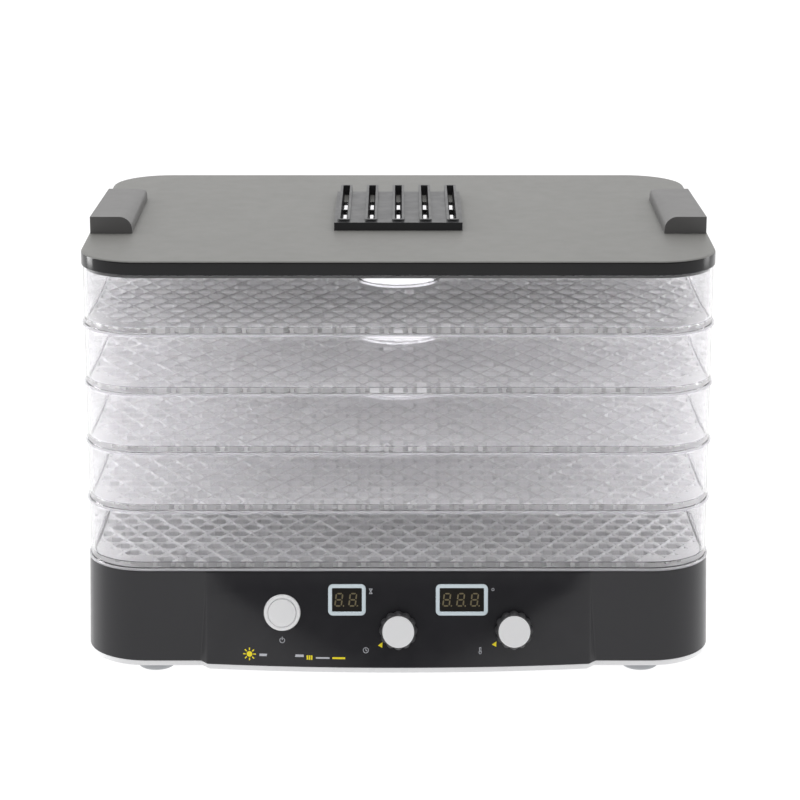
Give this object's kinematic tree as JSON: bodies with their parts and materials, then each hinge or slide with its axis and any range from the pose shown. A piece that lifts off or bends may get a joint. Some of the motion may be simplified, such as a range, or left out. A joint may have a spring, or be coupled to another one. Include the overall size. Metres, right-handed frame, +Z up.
{
  "type": "food dehydrator",
  "caption": "Tabletop food dehydrator: clear stacking lattice trays with a centre air duct between a black fan and heater base with knobs and displays and a black vented lid.",
  "frame": {"origin": "on the table, under the middle of the whole width and depth, controls and inlet included", "axes": "+Z up, +X to the right seen from the control panel, +Y to the back; the control panel faces -Y"},
  "size_m": [0.4414, 0.3336, 0.3085],
  "materials": {
    "housing_black": "fine satin",
    "pan_white": "smooth",
    "foot_rubber": "matte",
    "screw_steel": "plain",
    "filter_white": "felt",
    "cover_white": "smooth",
    "duct_grey": "smooth",
    "bracket_steel": "plain",
    "motor_can": "plain",
    "impeller_grey": "smooth",
    "mica": "flat",
    "heater_wire": "oxidised",
    "inlet_black": "smooth",
    "board_green": "solder mask",
    "switch_grey": "smooth",
    "spring_steel": "plain",
    "button_white": "satin",
    "bezel_pale": "smooth",
    "display_dark": "smoked",
    "encoder_metal": "plain",
    "shaft_steel": "plain",
    "knob_black": "satin",
    "cap_white": "satin",
    "wire_brown": "pvc",
    "tray_clear": "clear polycarbonate",
    "lid_grey": "fine grain",
    "grille_black": "satin"
  },
  "bodies": {
    "base": {"base_housing": "housing_black", "bottom_pan": "pan_white", "feet": "foot_rubber", "pan_screws": "screw_steel", "air_filter": "filter_white", "air_duct": "duct_grey", "duct_screws": "screw_steel", "motor_bracket": "bracket_steel", "fan_motor": "motor_can", "heater_frame": "mica", "heater_coil": "heater_wire", "thermal_cutout": "bracket_steel", "power_inlet": "inlet_black", "inlet_screws": "screw_steel", "control_board": "board_green", "board_screws": "screw_steel", "power_switch": "switch_grey", "button_spring": "spring_steel", "power_button_ring": "button_white", "timer_display": "display_dark", "timer_display_bezel": "bezel_pale", "temp_display": "display_dark", "temp_display_bezel": "bezel_pale", "timer_encoder": "encoder_metal", "temp_encoder": "encoder_metal", "wiring": "wire_brown"},
    "filter_door": {"filter_cover": "cover_white"},
    "fan_rotor": {"motor_shaft": "shaft_steel", "fan_impeller": "impeller_grey"},
    "push_button": {"power_button": "button_white"},
    "timer_dial": {"timer_shaft": "shaft_steel", "timer_knob": "knob_black", "timer_knob_cap": "cap_white"},
    "temp_dial": {"temp_shaft": "shaft_steel", "temp_knob": "knob_black", "temp_knob_cap": "cap_white"},
    "tray_level_1": {"tray_1": "tray_clear", "tray_1_lattice": "tray_clear"},
    "tray_level_2": {"tray_2": "tray_clear", "tray_2_lattice": "tray_clear"},
    "tray_level_3": {"tray_3": "tray_clear", "tray_3_lattice": "tray_clear"},
    "tray_level_4": {"tray_4": "tray_clear", "tray_4_lattice": "tray_clear"},
    "tray_level_5": {"tray_5": "tray_clear", "tray_5_lattice": "tray_clear"},
    "lid_assembly": {"lid": "lid_grey", "vent_grille": "grille_black", "lid_grip_left": "lid_grey", "lid_grip_right": "lid_grey", "grip_screws": "screw_steel"}
  },
  "joints": [
    {"name": "tray_1_lift", "type": "slide", "parent": "base", "child": "tray_level_1", "axis": [0, 0, 1], "range_m": [0, 0.05]},
    {"name": "tray_2_lift", "type": "slide", "parent": "tray_level_1", "child": "tray_level_2", "axis": [0, 0, 1], "range_m": [0, 0.05]},
    {"name": "tray_3_lift", "type": "slide", "parent": "tray_level_2", "child": "tray_level_3", "axis": [0, 0, 1], "range_m": [0, 0.05]},
    {"name": "tray_4_lift", "type": "slide", "parent": "tray_level_3", "child": "tray_level_4", "axis": [0, 0, 1], "range_m": [0, 0.05]},
    {"name": "tray_5_lift", "type": "slide", "parent": "tray_level_4", "child": "tray_level_5", "axis": [0, 0, 1], "range_m": [0, 0.05]},
    {"name": "lid_lift", "type": "slide", "parent": "tray_level_5", "child": "lid_assembly", "axis": [0, 0, 1], "range_m": [0, 0.05]},
    {"name": "power_push", "type": "slide", "parent": "base", "child": "push_button", "axis": [0, 0.9767, -0.2147], "range_m": [0, 0.0025], "stiffness_N_per_m": 300, "springref_m": -0.001, "deforming": ["button_spring"]},
    {"name": "timer_turn", "type": "hinge", "parent": "base", "child": "timer_dial", "pos_m": [0, -0.15066, 0.0353], "axis": [0, -0.9767, 0.2147], "continuous": true},
    {"name": "temp_turn", "type": "hinge", "parent": "base", "child": "temp_dial", "pos_m": [0.0805, -0.15016, 0.0353], "axis": [0, -0.9767, 0.2147], "continuous": true},
    {"name": "fan_spin", "type": "hinge", "parent": "base", "child": "fan_rotor", "pos_m": [0, 0.0098, 0.03], "axis": [0, 0, 1], "continuous": true},
    {"name": "filter_cover_twist", "type": "hinge", "parent": "base", "child": "filter_door", "pos_m": [0, 0.0098, 0.004], "axis": [0, 0, 1], "range_deg": [0, 30]}
  ]
}
